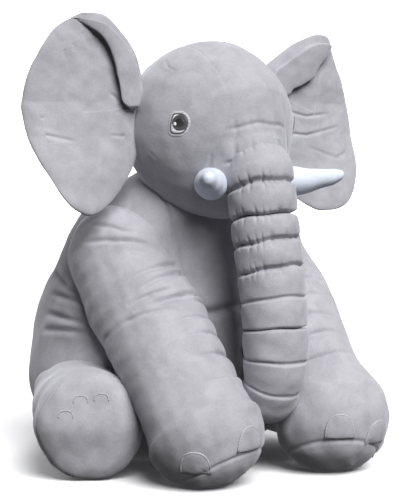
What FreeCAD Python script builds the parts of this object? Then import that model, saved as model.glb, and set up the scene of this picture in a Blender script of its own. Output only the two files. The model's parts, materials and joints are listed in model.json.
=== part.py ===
"""A sitting stuffed elephant: sewn fabric shells around fibre stuffing, in millimetres.

+Z is up, the elephant faces -Y, and its right side is at -X. The origin is on the floor under
the middle of the toy. Each limb is a shell with its stuffing inside, and its inner end is a ball
at the seam it swings on, which lies in a dish of the piece it is sewn to.
"""
import FreeCAD, Part
import math
import os

import Sketcher
from FreeCAD import Placement, Rotation, Vector

SIDES = {"right": -1, "left": 1}

# Driving dimensions. Sections of the torso run from the floor up to the neck.
SIZES = {
    "cover": 3.0,            # thickness of the plush fabric with its pile
    "slack": 0.3,            # free space between a cover and its stuffing
    "running": 2.0,          # free space between a ball and its dish
    "bend_gap": 3.0,         # the same at a stitched bend of the trunk, so that it can fold
    "head": 112.0,
    "head_y": -47.0,
    "head_z": 448.0,
    "muzzle": 43.0,
    "muzzle_y": -146.0,
    "muzzle_z": 412.0,
    "gusset": 84.0,          # width of the strip that runs over the forehead
    "belly": 60.0,           # width of the belly panel
    "belly_back": 52.0,      # how far the belly panel runs back under the toy
    "shoulder_x": 106.0,
    "shoulder_y": -2.0,
    "shoulder_z": 282.0,
    "shoulder": 63.0,
    "ankle": 67.0,
    "foot_x": 101.0,
    "foot_y": -177.0,
    "foot_z": 67.0,
    "foot": 75.0,
    "foot_sole": 46.0,       # the sole's seam lies this far below the middle of the foot
    "foot_pitch": 24.0,      # how far the sole turns forwards from straight down
    "hip_x": 146.0,
    "hip_y": 61.0,
    "hip_z": 98.0,
    "hip": 75.0,
    "hip_lip": 0.5,          # how much the hip's ball stands out round the top of the leg's cone
    "hind_x": 216.0,
    "hind_y": -83.0,
    "hind_z": 64.0,
    "hind": 65.0,
    "hind_round": 22.0,      # rounding at the edge of the hind sole
    "hind_sole": 16.0,       # the sole's seam lies this far behind its face
    "trunk_root_y": -160.0,
    "trunk_root_z": 370.0,
    "trunk_root": 38.0,
    "trunk_bend_y": -186.0,
    "trunk_bend_z": 262.0,
    "trunk_bend": 39.5,
    "trunk_curl_y": -195.0,
    "trunk_curl_z": 153.0,
    "trunk_curl": 38.5,
    "trunk_end_y": -173.0,
    "trunk_end_z": 100.0,
    "trunk_end": 28.0,
    "tusk_x": 50.0,
    "tusk_y": -121.0,
    "tusk_z": 374.0,
    "tusk": 22.0,
    "tusk_tip": 8.0,
    "tusk_length": 88.0,
    "tusk_splay": 38.0,
    "tusk_rise": 8.0,
    "ear_hinge_x": 110.0,
    "ear_y": -39.0,
    "ear_layer": 3.0,
    "ear_filling": 5.4,
    "ear_sweep": 6.0,
    "ear_top_x": 68.0,
    "ear_top_z": 526.0,
    "ear_top": 70.0,
    "ear_lobe_x": 58.0,
    "ear_lobe_z": 409.0,
    "ear_lobe": 72.0,
    "ear_side": 185.0,
    "ear_clear": 5.0,
    "eye": 15.5,
    "eye_ring": 1.6,
    "iris": 11.0,
    "pupil": 6.5,
    "glint": 2.2,
    "glint_off": 4.6,
    "thread": 0.5,           # height of one layer of embroidery
    "eye_side": 58.5,        # bearing of the eyes from straight ahead
    "eye_up": 2.5,
    "toenail": 14.0,
    "tail_z": 178.0,
    "tail": 9.0,
    "tail_tip": 7.0,
    "tail_length": 92.0,
    "tuft": 13.0,
    "tuft_length": 26.0,
    "label_w": 26.0,
    "label_l": 34.0,
    "label": 0.8,
}
TORSO = [  # height, half width, half depth, middle
    (0, 118, 96, 58),
    (34, 166, 136, 65),
    (105, 190, 158, 71),
    (205, 182, 152, 69),
    (288, 152, 132, 47),
    (328, 130, 113, 35),
    (362, 98, 84, 15),
    (385, 58, 48, -2),
]
FRONT_SWINGS = (0, 15, 30)  # degrees that the torso is cut clear at
HIND_SWINGS = (0, 12, 24)
NAIL_BEARINGS = (-52, 0, 52)
REACH = 400.0  # larger than any piece, for the blocks that split them

doc = FreeCAD.newDocument("elephant")
sheet = doc.addObject("Spreadsheet::Sheet", "sizes")


def fill_sheet():
    cells = dict(SIZES)
    for n, row in enumerate(TORSO):
        cells.update(zip((f"torso_up_{n}x", f"torso_wide_{n}x", f"torso_deep_{n}x", f"torso_mid_{n}x"), row))
    for n, (alias, value) in enumerate(cells.items(), start=1):
        sheet.set(f"A{n}", alias)
        sheet.set(f"B{n}", str(value))
        sheet.setAlias(f"B{n}", alias)
    doc.recompute()


def size(alias):
    return float(sheet.get(alias))


def cell(alias, grow=""):
    """An expression that reads a cell, with what is added to it."""
    return f"sizes.{alias} {grow}".strip()


def make(kind, label, where=None, **values):
    """A document object: values that are text are expressions that read the sheet."""
    thing = doc.addObject(kind, label)
    thing.Label = label
    for name, value in values.items():
        if isinstance(value, str):
            thing.setExpression(name, value)
        else:
            setattr(thing, name, value)
    if where is not None:
        thing.Placement = where
    return thing


def cut(label, base, tool):
    return make("Part::Cut", label, Base=base, Tool=tool, Refine=False)


def common(label, base, tool):
    return make("Part::Common", label, Base=base, Tool=tool, Refine=False)


def fuse(label, *things):
    return make("Part::MultiFuse", label, Shapes=list(things), Refine=False)


def at(x, y, z):
    return Vector(x, y, z)


def along(start, end):
    """A placement at start whose Z axis points to end and whose X axis stays level."""
    z = (end - start).normalize()
    x = Vector(0, 0, 1).cross(z)
    x = Vector(1, 0, 0) if x.Length < 1e-6 else x.normalize()
    return Placement(start, Rotation(x, z.cross(x), z, "ZXY"))


def turned(centre, axis, degrees):
    """A turn about a line through centre."""
    spin = Rotation(axis, degrees)
    return Placement(centre - spin.multVec(centre), spin)


def mirrored(side, x, y, z):
    return at(SIDES[side] * x, y, z)


def block(label, low, high):
    """A plain block between two corners, used only to cut with."""
    thing = doc.addObject("Part::Box", label)
    thing.Length, thing.Width, thing.Height = high - low
    thing.Placement = Placement(low, Rotation())
    return thing


def sphere(label, centre, radius):
    return make("Part::Sphere", label, Placement(centre, Rotation()), Radius=radius)


def cone(label, start, end, radius_1, radius_2):
    thing = make("Part::Cone", label, along(start, end), Radius1=radius_1, Radius2=radius_2)
    thing.Height = (end - start).Length
    return thing


def above_floor(label, thing, lift):
    """What of thing is higher than lift."""
    floor = block(f"{label}_floor", at(-REACH, -REACH, -REACH), at(REACH, REACH, lift))
    return cut(label, thing, floor)


# --- limbs: the same outline is made at any distance inside or outside the real skin -------------

def inset_words(inset):
    return f"- {inset:g}" if inset >= 0 else f"+ {-inset:g}"


def front_leg_points(side):
    shoulder = mirrored(side, size("shoulder_x"), size("shoulder_y"), size("shoulder_z"))
    foot = mirrored(side, size("foot_x"), size("foot_y"), size("foot_z"))
    return shoulder, foot


def front_leg_axis(side):
    """The line a front leg swings on: the foot goes up, forwards and outwards."""
    return Vector(-0.73, -0.50 * SIDES[side], 0.47 * SIDES[side])


def front_shank(label, side, inset):
    grow = inset_words(inset)
    return cone(label, *front_leg_points(side), cell("shoulder", grow), cell("ankle", grow))


def front_pad(label, side, inset):
    return sphere(label, front_leg_points(side)[1], cell("foot", inset_words(inset)))


def front_leg_skin(label, side, inset):
    ball = sphere(f"{label}_ball", front_leg_points(side)[0], cell("shoulder", inset_words(inset)))
    shank = front_shank(f"{label}_shank", side, inset)
    whole = fuse(f"{label}_whole", ball, shank, front_pad(f"{label}_pad", side, inset))
    return above_floor(label, whole, max(inset, 0))


def front_sole_plane(side):
    """Where the seam of a front sole lies: its Z axis points out of the foot."""
    pitch = math.radians(size("foot_pitch"))
    way = Vector(0, -math.sin(pitch), -math.cos(pitch))
    centre = front_leg_points(side)[1] + way * size("foot_sole")
    return along(centre, centre + way)


def hind_leg_points(side):
    hip = mirrored(side, size("hip_x"), size("hip_y"), size("hip_z"))
    sole = mirrored(side, size("hind_x"), size("hind_y"), size("hind_z"))
    return hip, sole


def hind_leg_axis(side):
    """The line a hind leg swings on: the foot goes outwards and back, and lifts a little."""
    return Vector(-0.10, -0.41 * SIDES[side], 0.905 * SIDES[side])


def hind_shank(label, side, inset):
    """A cone whose far end stops short of the sole's face by the inset."""
    hip, sole = hind_leg_points(side)
    grow = inset_words(inset)
    end = sole - (sole - hip).normalize() * inset
    return cone(label, hip, end, cell("hip", grow), cell("hind", grow))


def hind_pad(label, side, inset):
    """The same cone with its far edge rounded."""
    rounded = make("Part::Fillet", label)
    rounded.Base = hind_shank(f"{label}_sharp", side, inset)
    radius = size("hind_round") - inset
    doc.recompute()
    tip = hind_leg_points(side)[1]
    edges = rounded.Base.Shape.Edges
    rims = [n for n, e in enumerate(edges, start=1) if len(e.Vertexes) == 1]
    rim = min(rims, key=lambda n: (edges[n - 1].CenterOfMass - tip).Length)
    rounded.Edges = [(rim, radius, radius)]
    return rounded


def hind_leg_skin(label, side, inset):
    hip = hind_leg_points(side)[0]
    ball = sphere(f"{label}_ball", hip, cell("hip", f"{inset_words(inset)} + sizes.hip_lip"))
    whole = fuse(f"{label}_whole", ball, hind_pad(f"{label}_pad", side, inset))
    return above_floor(label, whole, max(inset, 0))


def hind_sole_plane(side):
    hip, sole = hind_leg_points(side)
    way = (sole - hip).normalize()
    centre = sole - way * size("hind_sole")
    return along(centre, centre + way)


def trunk_points():
    return [at(0, size(f"trunk_{p}_y"), size(f"trunk_{p}_z")) for p in ("root", "bend", "curl", "end")]


def trunk_skin(label, n, inset):
    """Segment n of the trunk: a ball at its upper bend, a cone, and a dish or a round tip."""
    names = ("root", "bend", "curl", "end")
    points = trunk_points()
    grow = inset_words(inset)
    first, last = f"trunk_{names[n]}", f"trunk_{names[n + 1]}"
    ball = sphere(f"{label}_ball", points[n], cell(first, grow))
    tube = cone(f"{label}_tube", points[n], points[n + 1], cell(first, grow), cell(last, grow))
    if n == 2:
        tip = sphere(f"{label}_tip", points[3], cell(last, grow))
        return fuse(label, ball, tube, tip)
    dish = sphere(f"{label}_dish", points[n + 1], cell(last, f"+ sizes.bend_gap + {inset:g}"))
    return cut(label, fuse(f"{label}_whole", ball, tube), dish)


def head_centre():
    return at(0, size("head_y"), size("head_z"))


def head_ball(label, inset):
    return sphere(label, head_centre(), cell("head", inset_words(inset)))


def head_and_muzzle(label, inset):
    muzzle = sphere(f"{label}_muzzle", at(0, size("muzzle_y"), size("muzzle_z")),
                    cell("muzzle", inset_words(inset)))
    return fuse(label, head_ball(f"{label}_ball", inset), muzzle)


def head_skin(label, inset):
    """The round head with the bulge that the trunk starts from, less the trunk's dish."""
    dish = sphere(f"{label}_dish", trunk_points()[0], cell("trunk_root", f"+ sizes.bend_gap + {inset:g}"))
    return cut(label, head_and_muzzle(f"{label}_whole", inset), dish)


def leg_room(label, side, inset):
    """What the two legs of one side take out of the torso over the whole of their swings."""
    limbs = (
        ("front", front_shank, "shoulder", front_leg_points(side)[0], front_leg_axis(side), FRONT_SWINGS),
        ("hind", hind_shank, "hip", hind_leg_points(side)[0], hind_leg_axis(side), HIND_SWINGS),
    )
    tools = []
    for name, shank, alias, centre, axis, swings in limbs:
        tools.append(sphere(f"{label}_{name}_ball", centre, cell(alias, inset_words(inset))))
        for degrees in swings:
            tool = shank(f"{label}_{name}_{degrees}", side, inset)
            tool.Placement = turned(centre, axis, degrees) * tool.Placement
            tools.append(tool)
    return tools


def torso_skin(label, inset):
    """Ellipses stacked from the floor to the neck, less the dishes for the head and the legs."""
    rings = []
    grow = inset_words(inset)
    for n in range(len(TORSO)):
        ring = make("Part::Ellipse", f"{label}_ring_{n}",
                    MajorRadius=cell(f"torso_wide_{n}x", grow), MinorRadius=cell(f"torso_deep_{n}x", grow))
        ring.Placement = Placement(at(0, size(f"torso_mid_{n}x"), size(f"torso_up_{n}x")), Rotation())
        rings.append(ring)
    rings[0].Placement = Placement(at(0, size("torso_mid_0x"), inset), Rotation())
    loft = make("Part::Loft", f"{label}_loft")
    loft.Sections, loft.Solid, loft.Ruled = rings, True, False
    free = inset + size("running")
    tools = [head_ball(f"{label}_neck", -free)]
    for side in SIDES:
        tools += leg_room(f"{label}_{side}", side, -free)
    return cut(label, loft, fuse(f"{label}_tools", *tools))


# --- finished sub-parts --------------------------------------------------------------------------

PARTS = []


def keep(thing, node):
    thing.Label = node
    PARTS.append((node, thing))


def shell(label, skin, *where):
    """The cover of a piece: its skin less the same skin one cover's thickness further in."""
    return cut(label, skin(f"{label}_out", *where, 0), skin(f"{label}_in", *where, size("cover")))


def stuffing(node, skin, *where):
    keep(skin(node, *where, size("cover") + size("slack")), node)


def halves(name, sides):
    """The right and left panels of a cover, which meet in the middle of the toy."""
    for side, sign in SIDES.items():
        low, high = sorted((0, -sign * REACH))
        other = block(f"{name}_without_{side}", at(low, -REACH, -REACH), at(high, REACH, REACH * 2))
        keep(cut(f"{name}_half_{side}", sides, other), f"{name}_side_panel_{side}")


def torso():
    cover = shell("torso_shell", torso_skin)
    half = size("belly") / 2
    front = block("belly_block", at(-half, -REACH, -REACH), at(half, size("belly_back"), REACH))
    keep(common("belly_panel", cover, front), "belly_panel")
    halves("torso", cut("torso_sides", cover, front))
    stuffing("torso_stuffing", torso_skin)


def head():
    cover = shell("head_shell", head_skin)
    half = size("gusset") / 2
    strip = block("gusset_block", at(-half, -REACH, -REACH), at(half, REACH, REACH * 2))
    keep(common("head_centre_gusset", cover, strip), "head_centre_gusset")
    halves("head", cut("head_sides", cover, strip))
    stuffing("head_stuffing", head_skin)


def eye_direction(side):
    bearing, up = math.radians(size("eye_side")), math.radians(size("eye_up"))
    level = math.cos(up)
    return Vector(SIDES[side] * math.sin(bearing) * level, -math.cos(bearing) * level, math.sin(up))


def eye_layer(node, radius, low, high, shift=0.0, hole=None):
    """A round patch of embroidery on each side of the head, between two heights off the cover."""
    patches = []
    for side in SIDES:
        way = eye_direction(side)
        across = Vector(0, 0, 1).cross(way).normalize()
        centre = head_centre() + across * shift + Vector(0, 0, shift * 0.5)
        post = make("Part::Cylinder", f"{node}_{side}_post", along(centre, centre + way), Radius=radius)
        post.Height = REACH
        if hole:
            core = make("Part::Cylinder", f"{node}_{side}_core", along(centre, centre + way), Radius=hole)
            core.Height = REACH
            post = cut(f"{node}_{side}_ring", post, core)
        layer = cut(f"{node}_{side}_layer", head_ball(f"{node}_{side}_top", -high),
                    head_ball(f"{node}_{side}_base", -low))
        patches.append(common(f"{node}_{side}", layer, post))
    both = make("Part::Compound", node)
    both.Links = patches
    keep(both, node)


def eyes():
    step, gap = size("thread"), 0.1
    heights = [gap + n * (step + gap) for n in range(4)]
    eye_layer("eye_outlines", cell("eye", "+ sizes.eye_ring"), heights[0], heights[0] + step,
              hole=cell("eye", "+ 0.1"))
    eye_layer("eye_whites", cell("eye"), heights[0], heights[0] + step)
    eye_layer("eye_irises", cell("iris"), heights[1], heights[1] + step)
    eye_layer("eye_pupils", cell("pupil"), heights[2], heights[2] + step)
    eye_layer("eye_glints", cell("glint"), heights[3], heights[3] + step, shift=size("glint_off"))


def tusk_skin(label, side, inset):
    splay = math.radians(size("tusk_splay"))
    root = mirrored(side, size("tusk_x"), size("tusk_y"), size("tusk_z"))
    way = Vector(SIDES[side] * math.sin(splay), -math.cos(splay), 0)
    tip = root + way * size("tusk_length") + Vector(0, 0, size("tusk_rise"))
    grow = inset_words(inset)
    horn = cone(f"{label}_horn", root, tip, cell("tusk", grow), cell("tusk_tip", grow))
    point = sphere(f"{label}_point", tip, cell("tusk_tip", grow))
    seat = head_and_muzzle(f"{label}_seat", -size("slack") - inset)
    return cut(label, fuse(f"{label}_whole", horn, point), seat)


def tusks():
    for side in SIDES:
        keep(shell(f"tusk_cover_{side}", tusk_skin, side), f"tusk_cover_{side}")
        stuffing(f"tusk_stuffing_{side}", tusk_skin, side)


def trunk():
    for n, name in enumerate(("upper", "middle", "tip")):
        keep(shell(f"trunk_{name}_cover", trunk_skin, n), f"trunk_{name}_cover")
        stuffing(f"trunk_{name}_stuffing", trunk_skin, n)


def nails(node, side, pad, plane):
    """Three half-round patches on the skin of a foot, just inside the seam of its sole."""
    gap = 0.2
    low = pad(f"{node}_under", side, -gap)
    layer = cut(f"{node}_layer", pad(f"{node}_over", side, -gap - size("thread") * 2), low)
    within = block(f"{node}_within", at(-REACH, -REACH, -REACH), at(REACH, REACH, 0))
    within.Placement = plane * Placement(at(-REACH, -REACH, -REACH), Rotation())
    ring = common(f"{node}_ring", layer, within)
    level = plane.Rotation.inverted().multVec(Vector(0, 0, 1))
    front = math.atan2(level.y, level.x)
    patches = []
    for n, bearing in enumerate(NAIL_BEARINGS):
        turn = front + math.radians(bearing)
        way = plane.Rotation.multVec(Vector(math.cos(turn), math.sin(turn), 0))
        post = make("Part::Cylinder", f"{node}_post_{n}", along(plane.Base, plane.Base + way))
        post.setExpression("Radius", cell("toenail"))
        post.Height = REACH
        patches.append(common(f"{node}_{n}", ring, post))
    group = make("Part::Compound", node)
    group.Links = patches
    keep(group, node)


def legs(name, skin, pad, sole_plane):
    for side in SIDES:
        plane = sole_plane(side)
        cover = shell(f"{name}_shell_{side}", skin, side)
        beyond = block(f"{name}_beyond_{side}", at(-REACH, -REACH, 0), at(REACH, REACH, REACH))
        beyond.Placement = plane * Placement(at(-REACH, -REACH, 0), Rotation())
        keep(cut(f"{name}_upper_{side}", cover, beyond), f"{name}_leg_cover_{side}")
        keep(common(f"{name}_lower_{side}", cover, beyond), f"{name}_sole_{side}")
        stuffing(f"{name}_leg_stuffing_{side}", skin, side)
        nails(f"{name}_toenails_{side}", side, pad, plane)


def ear_sketch(body, sign):
    """An oval of four arcs that run into each other, in the upright plane of the ear."""
    plane = next(f for f in body.Origin.OriginFeatures if f.Role == "XZ_Plane")
    sketch = body.newObject("Sketcher::SketchObject", f"{body.Name}_outline")
    sketch.AttachmentSupport = (plane, [""])
    sketch.MapMode = "FlatFace"
    ends = {name: Vector(sign * size(f"ear_{name}_x"), size(f"ear_{name}_z"), 0) for name in ("top", "lobe")}
    radii = {name: size(f"ear_{name}") for name in ends}
    wide = size("ear_side")
    line = ends["top"] - ends["lobe"]
    a, b = wide - radii["lobe"], wide - radii["top"]
    s = (a * a - b * b + line.Length ** 2) / (2 * line.Length)
    off = math.sqrt(a * a - s * s)
    ahead = Vector(line).normalize()
    beside = Vector(-ahead.y, ahead.x, 0)
    middles = [ends["lobe"] + ahead * s + beside * off * way for way in (-1, 1)]

    def bearing(start, end):
        return math.atan2(end.y - start.y, end.x - start.x)

    def arc(centre, radius, first, last):
        last += 2 * math.pi * (last < first)
        circle = Part.Circle(centre, Vector(0, 0, 1), radius)
        sketch.addGeometry(Part.ArcOfCircle(circle, first, last), False)

    left, right = middles
    arc(ends["top"], radii["top"], bearing(right, ends["top"]), bearing(left, ends["top"]))
    arc(left, wide, bearing(left, ends["top"]), bearing(left, ends["lobe"]))
    arc(ends["lobe"], radii["lobe"], bearing(left, ends["lobe"]), bearing(right, ends["lobe"]))
    arc(right, wide, bearing(right, ends["lobe"]), bearing(right, ends["top"]))
    for n in range(4):
        sketch.addConstraint(Sketcher.Constraint("Tangent", n, 2, (n + 1) % 4, 1))
    for geometry, alias in ((0, "ear_top"), (1, "ear_side"), (2, "ear_lobe"), (3, "ear_side")):
        n = sketch.addConstraint(Sketcher.Constraint("Radius", geometry, size(alias)))
        sketch.setExpression(f"Constraints[{n}]", cell(alias))
    for geometry, name in ((0, "top"), (2, "lobe")):
        sketch.addConstraint(Sketcher.Constraint("DistanceX", -1, 1, geometry, 3, ends[name].x))
        sketch.addConstraint(Sketcher.Constraint("DistanceY", -1, 1, geometry, 3, ends[name].y))
    return sketch


def ears():
    thick = size("ear_layer") * 2 + size("ear_filling") + size("slack") * 2
    layers = {  # how far each layer's back face is behind the ear's middle plane, and its thickness
        "ear_back_panel": (thick / 2, "ear_layer"),
        "ear_wadding": (size("ear_filling") / 2, "ear_filling"),
        "ear_front_panel": (size("ear_layer") - thick / 2, "ear_layer"),
    }
    for side, sign in SIDES.items():
        hinge = mirrored(side, size("ear_hinge_x"), size("ear_y"), 0)
        lie = Placement(hinge, Rotation(Vector(0, 0, 1), sign * size("ear_sweep")))
        for name, (back, depth) in layers.items():
            node = f"{name}_{side}"
            body = doc.addObject("PartDesign::Body", f"{node}_body")
            pad = body.newObject("PartDesign::Pad", f"{node}_pad")
            pad.Profile = ear_sketch(body, sign)
            pad.setExpression("Length", cell(depth))
            body.Tip = pad
            body.Placement = lie * Placement(at(0, back, 0), Rotation())
            seat = head_ball(f"{node}_seat", -size("ear_clear"))
            keep(cut(node, body, seat), node)


def tail():
    """A thin stuffed tail that hangs down the back from its seam, with a tuft at its end."""
    back = size("torso_mid_2x") + size("torso_deep_2x") + size("tail") + size("running") * 2
    top = at(0, back, size("tail_z"))
    low = top - at(0, 0, size("tail_length"))

    def skin(label, inset):
        grow = inset_words(inset)
        ball = sphere(f"{label}_ball", top, cell("tail", grow))
        tube = cone(f"{label}_tube", top, low, cell("tail", grow), cell("tail_tip", grow))
        end = sphere(f"{label}_end", low, cell("tail_tip", grow))
        return fuse(label, ball, tube, end)

    keep(shell("tail_cover", skin), "tail_cover")
    stuffing("tail_stuffing", skin)
    foot = low - at(0, 0, size("tuft_length"))
    flare = cone("tuft_flare", low, foot, cell("tail_tip", "+ 1"), cell("tuft"))
    brush = fuse("tuft_brush", flare, sphere("tuft_end", foot, cell("tuft")))
    keep(cut("tail_tuft", brush, skin("tuft_seat", -size("slack"))), "tail_tuft")


def care_label():
    """The blank care label, sewn into the back seam beside the tail."""
    body = doc.addObject("PartDesign::Body", "care_label")
    plane = next(f for f in body.Origin.OriginFeatures if f.Role == "XZ_Plane")
    sketch = body.newObject("Sketcher::SketchObject", "label_outline")
    sketch.AttachmentSupport = (plane, [""])
    sketch.MapMode = "FlatFace"
    w, h = size("label_w"), size("label_l")
    corners = [Vector(-w, -h, 0), Vector(0, -h, 0), Vector(0, 0, 0), Vector(-w, 0, 0)]
    for a, b in zip(corners, corners[1:] + corners[:1]):
        sketch.addGeometry(Part.LineSegment(a, b), False)
    for n in range(4):
        sketch.addConstraint(Sketcher.Constraint("Coincident", n, 2, (n + 1) % 4, 1))
    sketch.addConstraint(Sketcher.Constraint("Horizontal", 0))
    sketch.addConstraint(Sketcher.Constraint("Horizontal", 2))
    sketch.addConstraint(Sketcher.Constraint("Vertical", 1))
    sketch.addConstraint(Sketcher.Constraint("Vertical", 3))
    sketch.addConstraint(Sketcher.Constraint("Coincident", 2, 1, -1, 1))
    wide = sketch.addConstraint(Sketcher.Constraint("DistanceX", 0, 1, 0, 2, w))
    tall = sketch.addConstraint(Sketcher.Constraint("DistanceY", 1, 1, 1, 2, h))
    sketch.setExpression(f"Constraints[{wide}]", cell("label_w"))
    sketch.setExpression(f"Constraints[{tall}]", cell("label_l"))
    pad = body.newObject("PartDesign::Pad", "label_pad")
    pad.Profile = sketch
    pad.setExpression("Length", cell("label"))
    back = size("torso_mid_2x") + size("torso_deep_2x")
    corner = at(-size("tail") * 2.5, back + size("label") + size("slack"), size("torso_up_2x"))
    body.Placement = Placement(corner, Rotation())
    keep(body, "care_label")


def main():
    fill_sheet()
    torso()
    head()
    eyes()
    tusks()
    trunk()
    legs("front", front_leg_skin, front_pad, front_sole_plane)
    legs("hind", hind_leg_skin, hind_pad, hind_sole_plane)
    ears()
    tail()
    care_label()
    doc.recompute()
    bad = [o.Name for o in doc.Objects if {"Invalid", "Error"} & set(o.State)]
    if bad:
        raise RuntimeError(f"failed objects: {bad}")
    os.makedirs("parts", exist_ok=True)
    for old in os.listdir("parts"):
        os.remove(os.path.join("parts", old))
    for node, thing in PARTS:
        shape = thing.Shape
        if shape.isNull() or not shape.isValid() or not shape.Solids:
            raise RuntimeError(f"{node} has no valid solid")
        shape.exportStep(f"parts/{node}.step")
        print(f"{node:28s} {len(shape.Solids)} solids, {shape.Volume / 1000:9.1f} cm3")


main()
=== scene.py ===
"""A sitting stuffed elephant in grey plush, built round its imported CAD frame.

Lengths are millimetres until a mesh is made. +Z is up, the elephant faces -Y and its right side is
at -X. Every padded piece is a closed skin of rows of points, drawn in at its seams and gathers.
"""
import json
import math

import bpy
import numpy as np
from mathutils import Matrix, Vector
from mathutils.bvhtree import BVHTree

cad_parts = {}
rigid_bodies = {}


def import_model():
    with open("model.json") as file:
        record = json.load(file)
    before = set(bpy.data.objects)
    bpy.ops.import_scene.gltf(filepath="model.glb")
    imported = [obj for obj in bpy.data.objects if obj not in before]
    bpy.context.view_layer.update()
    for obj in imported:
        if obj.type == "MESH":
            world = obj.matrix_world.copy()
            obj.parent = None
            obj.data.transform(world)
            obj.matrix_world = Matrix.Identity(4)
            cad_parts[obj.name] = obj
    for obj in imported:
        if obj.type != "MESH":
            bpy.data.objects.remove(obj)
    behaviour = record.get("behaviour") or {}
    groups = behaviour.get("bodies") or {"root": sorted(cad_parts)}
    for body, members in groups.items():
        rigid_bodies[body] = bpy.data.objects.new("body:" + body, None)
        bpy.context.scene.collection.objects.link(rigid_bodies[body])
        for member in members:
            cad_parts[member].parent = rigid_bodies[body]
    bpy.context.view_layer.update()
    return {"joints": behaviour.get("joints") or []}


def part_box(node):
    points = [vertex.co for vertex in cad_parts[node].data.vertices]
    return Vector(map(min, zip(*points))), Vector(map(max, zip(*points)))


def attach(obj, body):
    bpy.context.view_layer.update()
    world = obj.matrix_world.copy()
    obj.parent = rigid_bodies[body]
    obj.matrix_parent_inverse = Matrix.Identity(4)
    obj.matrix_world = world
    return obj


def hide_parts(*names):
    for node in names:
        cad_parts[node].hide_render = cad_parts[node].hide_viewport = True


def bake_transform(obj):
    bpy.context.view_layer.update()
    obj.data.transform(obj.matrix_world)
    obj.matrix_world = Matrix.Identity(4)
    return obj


bl_info = {
    "name": "Stuffed Elephant",
    "version": (1, 0, 0),
    "blender": (4, 5, 0),
    "location": "3D View > Sidebar > Elephant",
    "description": "Makes the plush, embroidery and stage of a sitting stuffed elephant",
    "category": "Object",
}

MM = 0.001
SIDES = {"right": -1, "left": 1}
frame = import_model()
JOINTS = {joint["name"]: np.array(joint["pos_m"]) / MM for joint in frame["joints"] if "pos_m" in joint}


# --- sizes and colours that a user would change --------------------------------------------------

def length(name, text, value):
    """A length in millimetres as a property of the scene."""
    return bpy.props.FloatProperty(name=name, description=text, default=value * MM, unit="LENGTH",
                                   precision=4)


def linear(code):
    """An sRGB hex colour as linear red, green, blue and alpha."""
    parts = [int(code[n:n + 2], 16) / 255 for n in (1, 3, 5)]
    return (*[c / 12.92 if c <= 0.04045 else ((c + 0.055) / 1.055) ** 2.4 for c in parts], 1.0)


def colour(name, text, code):
    """An sRGB hex colour as a property of the scene."""
    return bpy.props.FloatVectorProperty(name=name, description=text, subtype="COLOR", size=4, min=0,
                                         max=1, default=linear(code))


class ElephantSizes(bpy.types.PropertyGroup):
    head: length("Head", "Radius of the round head", 113)
    trunk: length("Trunk", "Radius of the trunk between its stitched rings", 41)
    ear_thickness: length("Ear thickness", "Thickness of the quilted ears", 13)
    front_foot: length("Front foot", "Radius of a front foot", 75)
    hind_foot: length("Hind foot", "Radius of a hind foot", 69)
    eye: length("Eye", "Height of an embroidered eye", 34)
    nail: length("Nail", "Height of an embroidered toenail", 30)
    groove: length("Groove", "How deep a stitched ring draws the plush in", 7)
    seam: length("Seam", "How deep a plain seam lies", 1.8)
    pile: length("Pile", "Spacing of the tufts of the plush, coarse enough to show", 1.6)
    brushing: length("Brushing", "Width of a patch where the pile lies one way", 30)
    parting: length("Parting", "Distance between the small partings of the pile", 9)


class ElephantColours(bpy.types.PropertyGroup):
    plush: colour("Plush", "Grey short-pile plush", "#A9A8AE")
    brushed: colour("Brushed plush", "The same plush where its pile lies the other way", "#9D9CA2")
    tusk: colour("Tusks", "Cool white plush", "#D3DAE7")
    iris: colour("Iris", "Dark grey embroidery thread", "#48474C")
    pupil: colour("Pupil", "Black embroidery thread", "#1A191C")
    white: colour("White thread", "White embroidery thread", "#F2F3F6")
    outline: colour("Outline", "Pale thread round the eyes", "#C2C1C6")
    nail: colour("Nail thread", "Grey thread of the toenails", "#B4B3B9")
    floor: colour("Floor", "White matt floor", "#FBFBFC")


def sizes():
    return bpy.context.scene.elephant_sizes


def colours():
    return bpy.context.scene.elephant_colours


# --- plush skins ----------------------------------------------------------------------------------

def unit(v):
    """Vectors of length one."""
    v = np.asarray(v, float)
    return v / np.linalg.norm(v, axis=-1, keepdims=True)


def through(keys, count):
    """Evenly spaced points of a smooth curve through given keys."""
    keys = np.array(keys, float)
    t = np.r_[0, np.cumsum(np.linalg.norm(np.diff(keys, axis=0), axis=1))]
    slope = np.gradient(keys, t, axis=0)
    fine = np.linspace(0, t[-1], count * 6)
    n = np.clip(np.searchsorted(t, fine, side="right") - 1, 0, len(t) - 2)
    step = (t[n + 1] - t[n])[:, None]
    x = (fine - t[n])[:, None] / step
    curve = ((1 + 2 * x) * (1 - x) ** 2 * keys[n] + x * (1 - x) ** 2 * step * slope[n]
             + x * x * (3 - 2 * x) * keys[n + 1] + x * x * (x - 1) * step * slope[n + 1])
    run = np.r_[0, np.cumsum(np.linalg.norm(np.diff(curve, axis=0), axis=1))]
    even = np.linspace(0, run[-1], count)
    return np.stack([np.interp(even, run, curve[:, k]) for k in range(keys.shape[1])], axis=1)


def ease(x, low, high):
    """0 below low, 1 above high and smooth between."""
    x = np.clip((x - low) / (high - low), 0, 1)
    return x * x * (3 - 2 * x)


def bell(x, width):
    """1 at 0, falling smoothly to nothing a few widths away: the shape of every groove."""
    return np.exp(-(x / width) ** 2)


def lumps(points, seed, size, count=9):
    """Slow random unevenness between about -1 and 1: stuffing is never quite even."""
    rng = np.random.default_rng(seed)
    total = np.zeros(points.shape[:-1])
    for _ in range(count):
        wave = unit(rng.normal(size=3)) * 2 * math.pi / (size * rng.uniform(0.7, 1.6))
        total += np.sin(points @ wave + rng.uniform(0, 2 * math.pi))
    return total / math.sqrt(count)


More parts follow.
